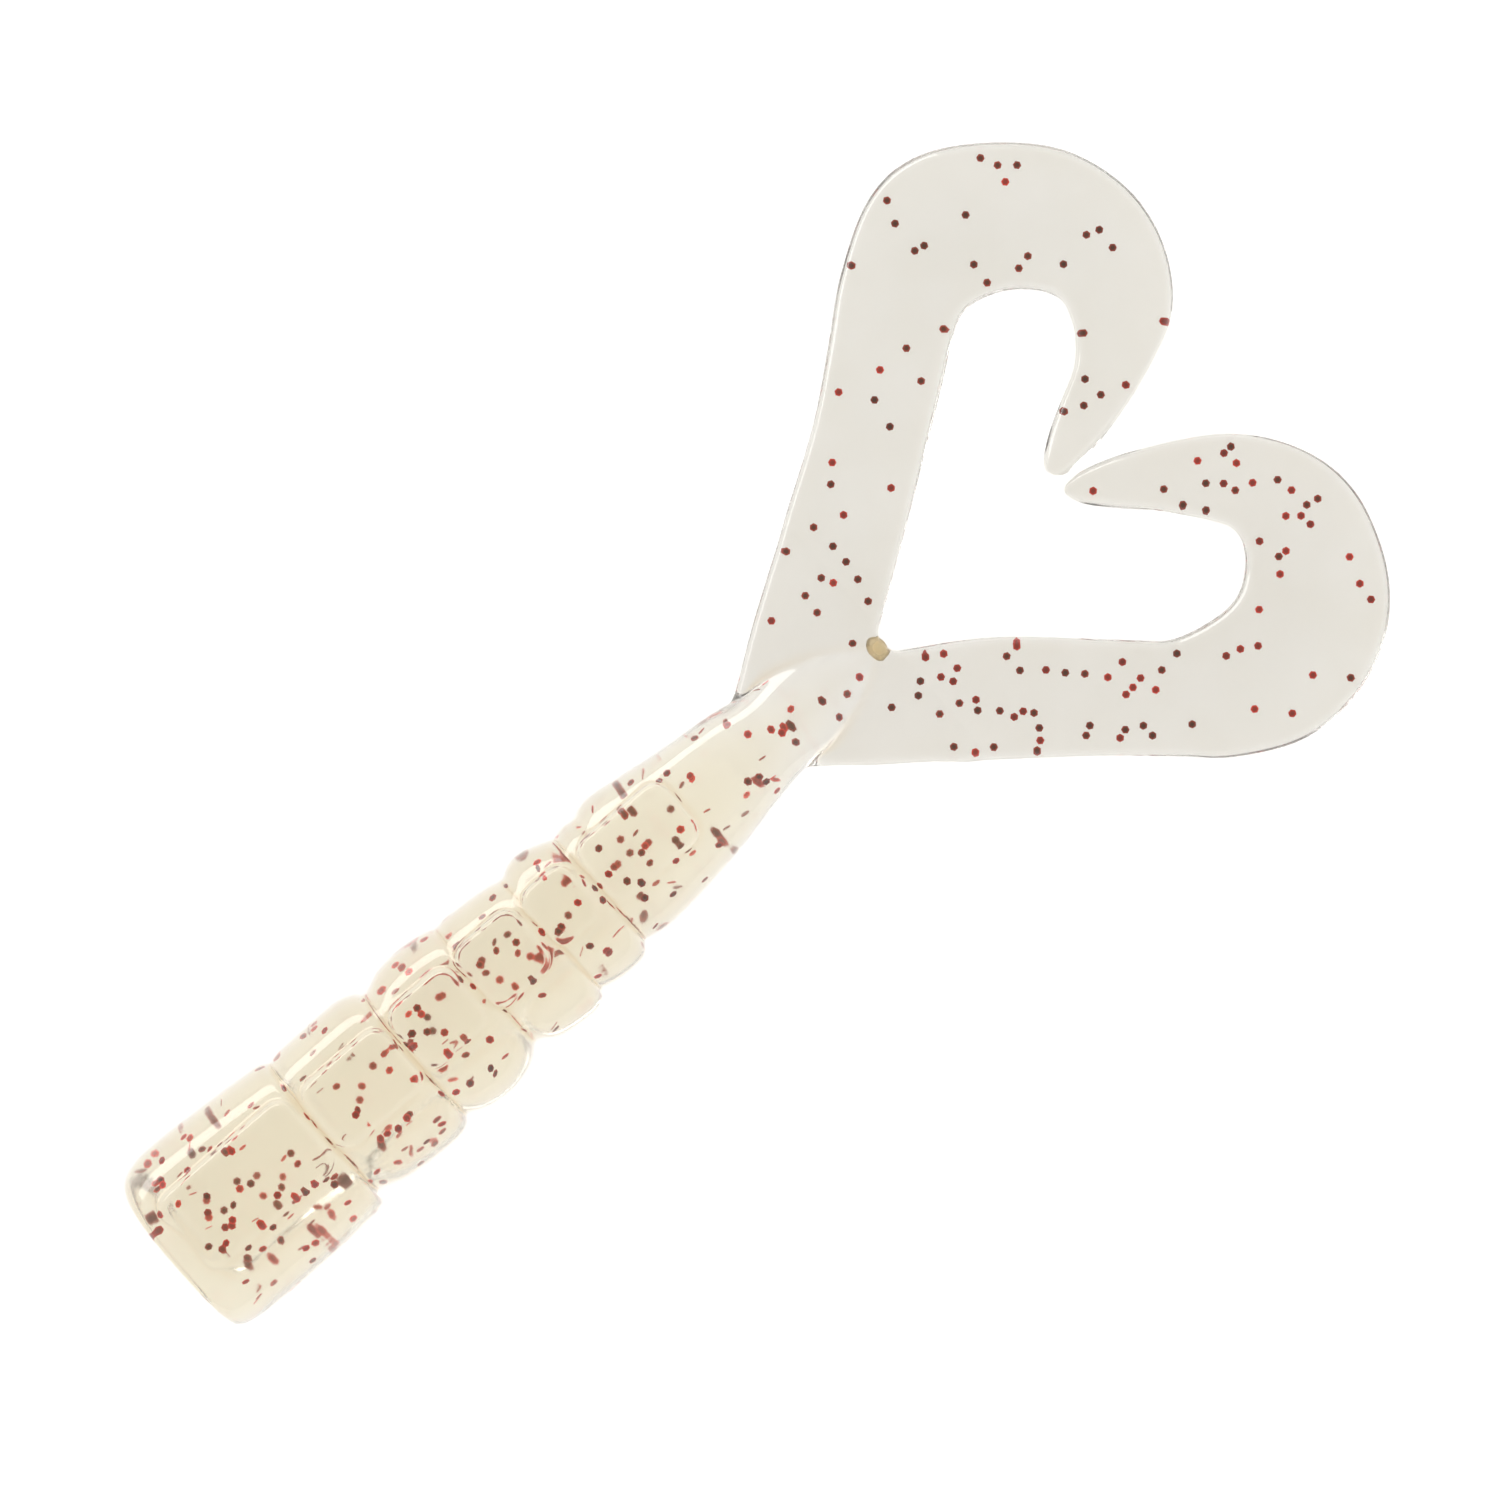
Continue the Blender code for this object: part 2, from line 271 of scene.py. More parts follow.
# Bends: how far one reaches on each side of its flex line in the body; the tails' flex lines,
# counted in ribs; and how far each of those reaches before its line and after it.
BODY_BEND = 1.0
TAIL_STARTS = (0, 1, 2, 4.5, 7, 9.5, 11.5)
TAIL_BENDS = (
    (0.30, 1.30), (1.7, 1.7), (2.25, 2.4), (1.9, 1.9), (1.6, 1.3), (0.9, 1.1), (1.0, 1.0),
)
# Each tail: the start of its pieces' names, its ribs, and its side, which is +1 on the right.
TAILS = (("right_tail", RIGHT_ROOT, RIGHT_RIBS, 1), ("left_tail", LEFT_ROOT, LEFT_RIBS, -1))

# Gate remnant at the crotch: its middle's station, and its half-length, half-width and half-height.
GATE_STATION = 50.36
GATE_LUMP = (0.56, 0.70, 0.66)
GATE_WAVE = 0.10  # how far the lump's surface wanders, as a share of its size
GATE_GRAIN = 1.7  # how closely its waves follow each other
GATE_LEAN = 0.6  # how much fuller the lump is on the side of the tails

# Flakes: shares of a section are counted from its middle, at 0, to its skin, at 1.
FLAKE_STATIONS = (0.3, 50.0)
FULLEST_SECTION = 100  # a section's width times its height; smaller sections get fewer flakes
FLAKE_FILL = 0.88  # how near the skin the flakes come
FLAKE_MARGIN = 0.25  # how far they keep inside it besides
FLAKE_VALUES = ("tone", "veil", "core")
FLAKE_TONES = (0.6, 1.15)  # the darkest and the brightest
VEIL_DEPTH = 4.5  # a flake this deep in the plastic is well veiled by it
MOST_VEIL = 0.24
SPARSE_MIDDLE, MIDDLE_SHARE = 0.6, 0.62  # fewer flakes lie in the middle than along the flanks
BODY_REDS = 0.58  # share of the flakes that are red
TAIL_REDS = {1: 0.25, -1: 0.50}
BODY_TILT, TAIL_TILT = 22, 7  # degrees that the flakes tip out of the skin's own slope
TAIL_ROOT_SKIPPED = 3  # ribs of a tail's root that lie inside the stem and get no tail flakes
TAIL_FACE_MARGIN = 0.15  # how far the tails' flakes keep inside the flat faces
TAIL_EDGE_MARGIN = 0.45  # and inside the edges
TAIL_TIP_SHARE = 0.3  # no flakes where the edge margin is more than this share of the width
TAIL_FLAKE_GAP = 0.5  # the least distance between two flakes in a tail
TAIL_FLAKE_DEPTH = 0.3  # how deep they all count for the veil

# Stage
TABLE_HALF = 1.5  # metres
TABLE_DROP = 0.05  # gap that keeps the table clear of the worm's belly
# Brightness of the studio's white tent against the height of a direction above the horizon.
TENT = (
    (0.0, (0.84, 0.82, 0.78)), (0.35, (0.94, 0.94, 0.94)), (0.68, (0.84, 0.82, 0.78)),
    (0.88, (0.63, 0.57, 0.48)), (1.0, (0.45, 0.40, 0.31)),
)
# In metres: where the lamp stands and what it is aimed at.
LAMP_AT = (-0.01, 0.22, 0.06)
LAMP_AIM = (-0.01, 0.0, 0.005)
# In metres: the width of the view at the parting plane, and the point that the camera is over.
VIEW_WIDTH = 0.0814
CAMERA_AT = (0.00307, 0.00035)
CAMERA_TURN = -40.8  # degrees
LENS = 150.0
SENSOR = 36.0


class WormSizes(bpy.types.PropertyGroup):
    voxel: FloatProperty(
        name="Casting grain", description="Voxel size that the cups and ribbons are fused at",
        default=0.00009, min=0.00008, unit="LENGTH", precision=5,
    )
    smoothing: IntProperty(
        name="Smoothing", description="Passes that soften the fused casting", default=30, min=0,
    )
    flake_width: FloatProperty(
        name="Flake width", description="Width of one glitter flake across its corners",
        default=0.00047, unit="LENGTH", precision=5,
    )
    flake_thickness: FloatProperty(
        name="Flake thickness", description="Thickness of one glitter flake",
        default=0.00004, unit="LENGTH", precision=5,
    )
    body_flakes: IntProperty(
        name="Body flakes", description="Number of flakes between the head and the crotch",
        default=380,
    )
    right_flakes: IntProperty(
        name="Right tail flakes", description="Number of flakes in the right tail", default=48,
    )
    left_flakes: IntProperty(
        name="Left tail flakes", description="Number of flakes in the left tail", default=80,
    )
    seed: IntProperty(name="Scatter", description="Seed of the flakes' places", default=7)


def colour(name, description, default):
    """A colour setting with its name, its description and its default."""
    return FloatVectorProperty(
        name=name, description=description, default=default, subtype="COLOR", min=0.0, max=1.0,
    )


class WormColours(bpy.types.PropertyGroup):
    cream: colour("Thick plastic", "Colour where the casting is thick", (0.870, 0.835, 0.705))
    clear: colour("Thin plastic", "Colour where the casting is thin", (0.790, 0.785, 0.765))
    # Painted shade: this tan is mixed into the grooves to stand in for the darkening that light gets there;
    # it is painted shade, not oil.
    crease_shade: colour(
        "Creases", "Colour in the grooves, where oil and light gather", (0.72, 0.58, 0.36),
    )
    gate: colour("Gate remnant", "Colour of the lump at the crotch", (0.90, 0.68, 0.34))
    red: colour("Red flake", "Colour of the red glitter's rim", (0.85, 0.045, 0.030))
    red_heart: colour(
        "Red flake's heart", "Colour of the red glitter's middle", (0.38, 0.018, 0.012),
    )
    brown: colour("Brown flake", "Colour of the dark glitter's rim", (0.50, 0.050, 0.030))
    brown_heart: colour(
        "Brown flake's heart", "Colour of the dark glitter's middle", (0.13, 0.018, 0.007),
    )
    veil: colour("Veil", "Colour that flakes take on deep in the plastic", (0.85, 0.44, 0.27))
    floor: colour("Table", "Colour of the table under the worm", (0.93, 0.93, 0.92))


# ---------------------------------------------------------------- shapes


def place(station, across, up=0.0):
    """A point in the frame from its station, its distance from the middle and its height in mm."""
    return Vector((FRONT_X + station * MM, across * MM, PARTING_Z + up * MM))


def follow(keys, station):
    """The values at a station on the smooth curves through the keys."""
    station = min(max(station, keys[0][0]), keys[-1][0])
    i = max(k for k in range(len(keys) - 1) if keys[k][0] <= station)
    near, far = keys[i], keys[i + 1]
    before, after = keys[max(i - 1, 0)], keys[min(i + 2, len(keys) - 1)]
    span = far[0] - near[0]
    t = (station - near[0]) / span
    values = []
    for k in range(1, len(near)):
        start = (far[k] - before[k]) / (far[0] - before[0]) * span
        end = (after[k] - near[k]) / (after[0] - near[0]) * span
        values.append(
            near[k] * (1 + 2 * t) * (1 - t) ** 2 + start * t * (1 - t) ** 2
            + far[k] * t * t * (3 - 2 * t) + end * t * t * (t - 1)
        )
    return values


def squareness(station):
    """The exponent of the section's upper half at a station."""
    share = min(max((station - WEDGE[0]) / (WEDGE[1] - WEDGE[0]), 0), 1)
    return SQUARENESS + (WEDGE_SQUARENESS - SQUARENESS) * share


def section(station, right, left, top, belly):
    """One outline of the body: a squared ellipse, wider on one side than on the other."""
    points = []
    crown = squareness(station)
    for i in range(SECTION_POINTS):
        angle = 2 * math.pi * i / SECTION_POINTS
        power = 2 / (crown if math.sin(angle) > 0 else SQUARENESS)
        across = math.copysign(abs(math.cos(angle)) ** power, math.cos(angle))
        up = math.copysign(abs(math.sin(angle)) ** power, math.sin(angle))
        wide, high = right if across > 0 else left, top if up > 0 else belly
        points.append(place(station, across * wide, up * high))
    return points


def loft(bm, sections):
    """A closed solid through the sections."""
    loops = []
    for points in sections:
        verts = [bm.verts.new(point) for point in points]
        loops.append([bm.edges.new(pair) for pair in zip(verts, verts[1:] + verts[:1])])
    for near, far in zip(loops, loops[1:]):
        bmesh.ops.bridge_loops(bm, edges=near + far)
    for rim in (loops[0], loops[-1]):
        bmesh.ops.contextual_create(bm, geom=rim)


def cup(bm, keys):
    """One cup of the body, as a closed solid through its sections."""
    steps = max(2, round((keys[-1][0] - keys[0][0]) / SECTION_STEP))
    stations = [keys[0][0] + (keys[-1][0] - keys[0][0]) * i / steps for i in range(steps + 1)]
    stations = sorted(set(stations) | {key[0] for key in keys[1:-1]})
    loft(bm, [section(station, *follow(keys, station)) for station in stations])


def pad(bm, front, rear, right, left, top, belly):
    """A block with rounded corners that stands a little out of the cups on top and at the belly."""
    made = bmesh.ops.create_cube(bm, size=1.0)["verts"]
    size = Vector(((rear - front) * MM, (right + left) * MM, (top + belly) * MM))
    middle = place((front + rear) / 2, (right - left) / 2, (top - belly) / 2)
    matrix = Matrix.Translation(middle) @ Matrix.Diagonal((*size, 1.0))
    bmesh.ops.transform(bm, verts=made, matrix=matrix)
    edges = {edge for vert in made for edge in vert.link_edges}
    upright = [e for e in edges if abs(e.verts[0].co.z - e.verts[1].co.z) > MM]
    rounded = bmesh.ops.bevel(
        bm, geom=upright, offset=PAD_CORNER * MM, offset_type="OFFSET", affect="EDGES",
        segments=5, profile=0.5, material=-1,
    )
    faces = {face for vert in rounded["verts"] for face in vert.link_faces}
    flat = [f for f in faces if abs(f.normal.z) > 0.9]
    rims = {edge for face in flat for edge in face.edges}
    bmesh.ops.bevel(
        bm, geom=list(rims), offset=PAD_EDGE * MM, offset_type="OFFSET", affect="EDGES",
        segments=3, profile=0.5, material=-1,
    )


def edge_point(points, place_along):
    """A point on the smooth curve through the points, at a place counted in ribs."""
    i = min(int(place_along), len(points) - 2)
    t = place_along - i
    a, b, c, d = (points[min(max(k, 0), len(points) - 1)] for k in range(i - 1, i + 3))
    curve = 2 * b + (c - a) * t
    curve += (2 * a - 5 * b + 4 * c - d) * t**2
    curve += (3 * b - a - 3 * c + d) * t**3
    return curve / 2


def tail_edges(ribs, side):
    """The outer and inner edges' points in the frame; side is +1 for the right tail."""
    return [[place(rib[k][0], side * rib[k][1]) for rib in ribs] for k in (0, 1)]


def strip_section(outer, inner):
    """The tail's outline between two edge points: flat faces with drafted edges."""
    middle = (outer + inner) / 2
    reach = (outer - middle).length
    outward = (outer - middle).normalized()
    half = TAIL_THICKNESS * MM / 2
    land = EDGE_LAND * MM
    draft = min(EDGE_DRAFT * MM, reach * DRAFT_SHARE)
    profile = (
        (reach, land), (reach - draft, half), (draft - reach, half), (-reach, land),
        (-reach, -land), (draft - reach, -half), (reach - draft, -half), (reach, -land),
    )
    return [middle + outward * y + Vector((0, 0, z)) for y, z in profile]


def ribbon(bm, root, ribs, side):
    """One tail from inside the stem to its blunt tip."""
    edges = tail_edges(root + ribs, side)
    places = [i / STEPS_PER_RIB for i in range((len(edges[0]) - 1) * STEPS_PER_RIB + 1)]
    pairs = [tuple(edge_point(points, place_along) for points in edges) for place_along in places]
    onwards = ((pairs[-1][0] + pairs[-1][1]) - (pairs[-2][0] + pairs[-2][1])).normalized() * MM
    last, end = pairs[-1], (pairs[-1][0] + pairs[-1][1]) / 2
    for reach, width in TIP_ROUND:
        pairs.append(tuple(end + (point - end) * width + onwards * reach for point in last))
    loft(bm, [strip_section(*pair) for pair in pairs])


def into_object(bm, name):
    """An object in the scene that holds the bmesh, which is freed."""
    mesh = bpy.data.meshes.new(name)
    bm.to_mesh(mesh)
    bm.free()
    obj = bpy.data.objects.new(name, mesh)
    bpy.context.scene.collection.objects.link(obj)
    return obj


def fused_casting(sizes):
    """The whole worm as one mesh: the overlapping shapes fused at the voxel size and softened."""
    bm = bmesh.new()
    for keys in (HEAD_CUP, *RING_CUPS, STEM_CUP):
        cup(bm, keys)
    for numbers in PADS:
        pad(bm, *numbers)
    for _, root, ribs, side in TAILS:
        ribbon(bm, root, ribs, side)
    bmesh.ops.recalc_face_normals(bm, faces=bm.faces)
    obj = into_object(bm, "casting")
    fuse = obj.modifiers.new("Fuse", "REMESH")
    fuse.mode = "VOXEL"
    fuse.voxel_size = sizes.voxel
    soften = obj.modifiers.new("Soften", "SMOOTH")
    soften.factor = 0.5
    soften.iterations = sizes.smoothing
    evaluated = obj.evaluated_get(bpy.context.evaluated_depsgraph_get())
    fused = bpy.data.meshes.new_from_object(evaluated)
    bpy.data.objects.remove(obj)
    return fused


def neighbour_mean(values, edges, counts):
    """Each vertex's values averaged over its neighbours."""
    total = np.zeros_like(values)
    for axis in range(values.shape[1]):
        for here, there in ((edges[:, 0], edges[:, 1]), (edges[:, 1], edges[:, 0])):
            total[:, axis] += np.bincount(here, weights=values[there, axis], minlength=len(values))
    return total / counts[:, None]


def read_vectors(collection, name):
    """A vector of each item in a mesh's collection, as an array with three columns."""
    values = np.zeros(len(collection) * 3, np.float32)
    collection.foreach_get(name, values)
    return values.reshape(-1, 3).astype(float)


def store_point_values(mesh):
    """Writes on each point the casting's thickness there, the share of painted crease shade that its groove
    depth gives, and its normal.
    """
    co = read_vectors(mesh.vertices, "co")
    normals = read_vectors(mesh.vertex_normals, "vector")
    edges = np.zeros(len(mesh.edges) * 2, np.int64)
    mesh.edges.foreach_get("vertices", edges)
    edges = edges.reshape(-1, 2)
    counts = np.bincount(edges.ravel(), minlength=len(co)).astype(float)
    flat = co
    for _ in range(CREASE_PASSES):
        flat = neighbour_mean(flat, edges, counts)
    depth = np.einsum("ij,ij->i", flat - co, normals) / (CREASE_DEPTH * MM)
    stations = (co[:, 0] - FRONT_X) / MM
    # Painted shade: each groove's depth sets how much tan shade is mixed in there, less of it towards the
    # web.
    crease_shade = np.clip(depth, 0, 1) * np.interp(stations, CREASE_FADE, (1, CREASE_LEFT))
    thickness = np.clip(np.abs(co[:, 2] - PARTING_Z) / (BELLY * MM), 0, 1)
    for name, values in (("crease_shade", crease_shade), ("thickness", thickness)):
        layer = mesh.attributes.new(name, "FLOAT", "POINT")
        layer.data.foreach_set("value", values.astype(np.float32))
    layer = mesh.attributes.new("whole_normal", "FLOAT_VECTOR", "POINT")
    layer.data.foreach_set("vector", normals.astype(np.float32).ravel())


# ---------------------------------------------------------------- cutting at the flex lines


def body_bends():
    """Each body piece: name, bodies, bend's start and end, nodes it stands for, bend's middle."""
    rows = []
    reach = Vector((BODY_BEND * MM, 0, 0))
    for a, b in zip(BODY_CHAIN, BODY_CHAIN[1:]):
        joint = next(joint for joint in frame["joints"] if joint["name"].startswith(b + "_"))
        middle = Vector(joint["pos_m"])
        nodes = BODY_NODES.get(a, (a,))
        rows.append((f"skin_{a}_to_{b}", (a, b), middle - reach, middle + reach, nodes, middle))
    return rows


def rib_line(edges, place_along):
    """The middle of the strip at a place, and the directions across it and onwards."""
    outer, inner = (edge_point(points, place_along) for points in edges)
    across = (outer - inner).normalized()
    onwards = across.cross(Vector((0, 0, 1)))
    ahead = sum((edge_point(points, place_along + 0.2) for points in edges), Vector()) / 2
    middle = (outer + inner) / 2
    if onwards.dot(ahead - middle) < 0:
        onwards.negate()
    return middle, across, onwards, (outer - inner).length


def tail_bends(prefix, ribs, side):
    """The same rows as body_bends gives, for the pieces of one tail."""
    edges = tail_edges(ribs, side)
    rows = []
    bodies = ["fork"] + [f"{prefix}_{part}" for part in TAIL_CHAIN]
    for a, b, start, (back, on) in zip(bodies, bodies[1:], TAIL_STARTS, TAIL_BENDS):
        middle, _, onwards, _ = rib_line(edges, start)
        first, last = middle - onwards * back * MM, middle + onwards * on * MM
        rows.append((f"skin_{b}", (a, b), first, last, (b,), middle))
    return rows


def cut(bm, middle, normal, reach):
    """Cuts the faces near a plane, within reach of its middle, and marks the new edges as seams."""
    near = [
        face for face in bm.faces
        if (face.calc_center_median() - middle).length < reach
        and abs((face.calc_center_median() - middle).dot(normal)) < CUT_BAND * MM
    ]
    parts = {part for face in near for part in (*face.verts, *face.edges)}
    made = bmesh.ops.bisect_plane(
        bm, geom=near + list(parts), dist=1e-7, plane_co=middle, plane_no=normal,
    )
    for part in made["geom_cut"]:
        if isinstance(part, bmesh.types.BMEdge):
            part.seam = True


def cut_casting(mesh):
    """Splits the casting between its flex lines into loose shells in the same mesh."""
    bm = bmesh.new()
    bm.from_mesh(mesh)
    for station in BODY_CUTS:
        cut(bm, place(station, 0), Vector((1, 0, 0)), BODY_CUT_REACH * MM)
    for _, _, ribs, side in TAILS:
        edges = tail_edges(ribs, side)
        for place_along in TAIL_CUTS:
            middle, _, onwards, width = rib_line(edges, place_along)
            cut(bm, middle, onwards, width / 2 + TAIL_CUT_SPARE * MM)
    seams = [edge for edge in bm.edges if edge.seam]
    bmesh.ops.split_edges(bm, edges=seams)
    for edge in bm.edges:
        edge.seam = False
    bm.to_mesh(mesh)
    bm.free()


def loose_shells(mesh):
    """One object for each loose shell of the mesh."""
    obj = bpy.data.objects.new("skin", mesh)
    bpy.context.scene.collection.objects.link(obj)
    before = set(bpy.data.objects)
    bpy.ops.object.select_all(action="DESELECT")
    bpy.context.view_layer.objects.active = obj
    obj.select_set(True)
    bpy.ops.object.mode_set(mode="EDIT")
    bpy.ops.mesh.select_all(action="SELECT")
    bpy.ops.mesh.separate(type="LOOSE")
    bpy.ops.object.mode_set(mode="OBJECT")
    bpy.ops.object.select_all(action="DESELECT")
    return [obj] + [o for o in bpy.data.objects if o not in before]


def nearest_shell(clouds, middle):
    """The shell whose points come closest to the middle of a bend."""
    gaps = {}
    for shell, points in clouds.items():
        gaps[shell] = np.linalg.norm(points - np.array(middle), axis=1).min()
    return min(gaps, key=gaps.get)


def keep_whole_normals(mesh):
    """Shades the piece with the whole casting's normals, so that no line shows where it was cut."""
    mesh.shade_smooth()
    normals = read_vectors(mesh.attributes["whole_normal"].data, "vector")
    normals /= np.linalg.norm(normals, axis=1)[:, None]
    mesh.normals_split_custom_set_from_vertices(normals.tolist())
    mesh.attributes.remove(mesh.attributes["whole_normal"])


# ---------------------------------------------------------------- materials


def node(tree, kind, x, y, **settings):
    """A new node at a place in the editor, with its settings."""
    made = tree.nodes.new(kind)
    made.location = (x, y)
    for key, value in settings.items():
        setattr(made, key, value)
    return made


def blank_material(name):
    """A new material, with its node tree, the tree's linking function and its main shader."""
    material = bpy.data.materials.new(name)
    material.use_nodes = True
    tree = material.node_tree
    return material, tree, tree.links.new, tree.nodes["Principled BSDF"]


def plastisol(name, colours, roughness, transmission):
    """Cloudy soft plastic: cream where thick, grey where thin, with painted tan shade in its creases."""
    material, tree, link, shader = blank_material(name)
    output = tree.nodes["Material Output"]
    coords = node(tree, "ShaderNodeTexCoord", -1400, 0)
    thickness = node(tree, "ShaderNodeAttribute", -1400, 400, attribute_name="thickness")
    crease_shade = node(tree, "ShaderNodeAttribute", -1400, 200, attribute_name="crease_shade")
    cloud = node(tree, "ShaderNodeTexNoise", -1200, 0)
    cloud.inputs["Scale"].default_value = 260.0
    cloud.inputs["Detail"].default_value = 3.0
    link(coords.outputs["Object"], cloud.inputs["Vector"])
    body = node(tree, "ShaderNodeMapRange", -1100, 400, interpolation_type="SMOOTHSTEP")
    body.inputs["From Min"].default_value = 0.10
    body.inputs["From Max"].default_value = 0.75
    link(thickness.outputs["Fac"], body.inputs["Value"])
    base = node(tree, "ShaderNodeMix", -800, 300, data_type="RGBA")
    base.inputs["A"].default_value = (*colours.clear, 1.0)
    base.inputs["B"].default_value = (*colours.cream, 1.0)
    link(body.outputs["Result"], base.inputs["Factor"])
    cloudy = node(tree, "ShaderNodeMix", -600, 300, data_type="RGBA", blend_type="MULTIPLY")
    cloudy.inputs["B"].default_value = (0.93, 0.92, 0.88, 1.0)
    link(base.outputs["Result"], cloudy.inputs["A"])
    link(cloud.outputs["Fac"], cloudy.inputs["Factor"])
    # Painted shade: the tan crease colour is mixed over the base colour where the grooves are deep.
    crease_shade_share = node(tree, "ShaderNodeMath", -800, 80, operation="MULTIPLY")
    crease_shade_share.inputs[1].default_value = 0.8
    link(crease_shade.outputs["Fac"], crease_shade_share.inputs[0])
    crease_shaded = node(tree, "ShaderNodeMix", -400, 300, data_type="RGBA")
    crease_shaded.inputs["B"].default_value = (*colours.crease_shade, 1.0)
    link(cloudy.outputs["Result"], crease_shaded.inputs["A"])
    link(crease_shade_share.outputs["Value"], crease_shaded.inputs["Factor"])
    link(crease_shaded.outputs["Result"], shader.inputs["Base Color"])
    ripple = node(tree, "ShaderNodeTexNoise", -800, -200)
    ripple.inputs["Scale"].default_value = 1400.0
    ripple.inputs["Detail"].default_value = 2.0
    link(coords.outputs["Object"], ripple.inputs["Vector"])
    bump = node(tree, "ShaderNodeBump", -400, -200)
    bump.inputs["Strength"].default_value = 0.25
    bump.inputs["Distance"].default_value = 0.00002
    link(ripple.outputs["Fac"], bump.inputs["Height"])
    link(bump.outputs["Normal"], shader.inputs["Normal"])
    shader.inputs["Roughness"].default_value = roughness
    shader.inputs["IOR"].default_value = 1.42
    shader.inputs["Transmission Weight"].default_value = transmission
    shader.inputs["Coat Weight"].default_value = 1.0
    shader.inputs["Coat Roughness"].default_value = 0.08
    shader.inputs["Coat IOR"].default_value = 1.5
    lamp_pass = node(tree, "ShaderNodeLightPath", 0, 300)
    through = node(tree, "ShaderNodeBsdfTransparent", 0, -200)
    through.inputs["Color"].default_value = (0.96, 0.95, 0.92, 1.0)
    mix = node(tree, "ShaderNodeMixShader", 300, 0)
    link(lamp_pass.outputs["Is Shadow Ray"], mix.inputs["Fac"])
    link(shader.outputs["BSDF"], mix.inputs[1])
    link(through.outputs["BSDF"], mix.inputs[2])
    link(mix.outputs["Shader"], output.inputs["Surface"])
    return material


def glitter(name, heart, rim, haze):
    """Flake with a dark heart and a brighter rim, paler where it lies deep in the plastic."""
    material, tree, link, shader = blank_material(name)
    tone = node(tree, "ShaderNodeAttribute", -900, 300, attribute_name="tone")
    veil = node(tree, "ShaderNodeAttribute", -900, 0, attribute_name="veil")
    core = node(tree, "ShaderNodeAttribute", -1300, 300, attribute_name="core")
    step = node(tree, "ShaderNodeMapRange", -1100, 300, interpolation_type="SMOOTHSTEP")
    step.inputs["From Min"].default_value = 0.18
    step.inputs["From Max"].default_value = 0.55
    link(core.outputs["Fac"], step.inputs["Value"])
    pigment = node(tree, "ShaderNodeMix", -850, 500, data_type="RGBA")
    pigment.inputs["A"].default_value = (*rim, 1.0)
    pigment.inputs["B"].default_value = (*heart, 1.0)
    link(step.outputs["Result"], pigment.inputs["Factor"])
    varied = node(tree, "ShaderNodeHueSaturation", -600, 300)
    link(pigment.outputs["Result"], varied.inputs["Color"])
    link(tone.outputs["Fac"], varied.inputs["Value"])
    hazed = node(tree, "ShaderNodeMix", -300, 200, data_type="RGBA")
    hazed.inputs["B"].default_value = (*haze, 1.0)
    link(varied.outputs["Color"], hazed.inputs["A"])
    link(veil.outputs["Fac"], hazed.inputs["Factor"])
    link(hazed.outputs["Result"], shader.inputs["Base Color"])
    shader.inputs["Roughness"].default_value = 0.35
    shader.inputs["Specular IOR Level"].default_value = 0.06
    return material


def tan_plastic(name, tan):
    """Thick amber plastic of the gate remnant, mottled and a little cloudy."""
    material, tree, link, shader = blank_material(name)
    coords = node(tree, "ShaderNodeTexCoord", -900, 0)
    mottle = node(tree, "ShaderNodeTexNoise", -700, 0)
    mottle.inputs["Scale"].default_value = 2600.0
    link(coords.outputs["Object"], mottle.inputs["Vector"])
    mixed = node(tree, "ShaderNodeMix", -400, 100, data_type="RGBA")
    mixed.inputs["A"].default_value = (*tan, 1.0)
    mixed.inputs["B"].default_value = (0.96, 0.84, 0.58, 1.0)
    link(mottle.outputs["Fac"], mixed.inputs["Factor"])
    link(mixed.outputs["Result"], shader.inputs["Base Color"])
    shader.inputs["Roughness"].default_value = 0.30
    shader.inputs["IOR"].default_value = 1.42
    shader.inputs["Transmission Weight"].default_value = 0.75
    return material


def table_top(name, pale):
    """Matt white board with a faint grain, lifted a little so that it stays white."""
    material, tree, link, shader = blank_material(name)
    coords = node(tree, "ShaderNodeTexCoord", -900, 0)
    grain = node(tree, "ShaderNodeTexNoise", -700, 0)
    grain.inputs["Scale"].default_value = 30.0
    mixed = node(tree, "ShaderNodeMix", -400, 100, data_type="RGBA")
    mixed.inputs["A"].default_value = (*pale, 1.0)
    mixed.inputs["B"].default_value = (0.95, 0.95, 0.95, 1.0)
    link(coords.outputs["Object"], grain.inputs["Vector"])
    link(grain.outputs["Fac"], mixed.inputs["Factor"])
    link(mixed.outputs["Result"], shader.inputs["Base Color"])
    shader.inputs["Roughness"].default_value = 0.9
    shader.inputs["Specular IOR Level"].default_value = 0.1
    shader.inputs["Emission Color"].default_value = (0.96, 0.97, 1.0, 1.0)
    shader.inputs["Emission Strength"].default_value = 0.43
    return material


def soft_sky():
    """A white tent with a dark opening straight overhead, where the camera looks in."""
    world = bpy.data.worlds.new("tent")
    world.use_nodes = True
    tree = world.node_tree
    coords = node(tree, "ShaderNodeTexCoord", -900, 0)
    split = node(tree, "ShaderNodeSeparateXYZ", -700, 0)
    ramp = node(tree, "ShaderNodeValToRGB", -500, 0)
    for (height, level), element in zip(TENT, grown(ramp.color_ramp, len(TENT))):
        element.position = height
        element.color = (*level, 1.0)
    tree.links.new(coords.outputs["Generated"], split.inputs["Vector"])
    tree.links.new(split.outputs["Z"], ramp.inputs["Fac"])
    tree.links.new(ramp.outputs["Color"], tree.nodes["Background"].inputs["Color"])
    return world


def grown(color_ramp, count):
    """The ramp's elements, with more added until there are count of them."""
    while len(color_ramp.elements) < count:
        color_ramp.elements.new(1.0)
    return color_ramp.elements


# ---------------------------------------------------------------- flakes


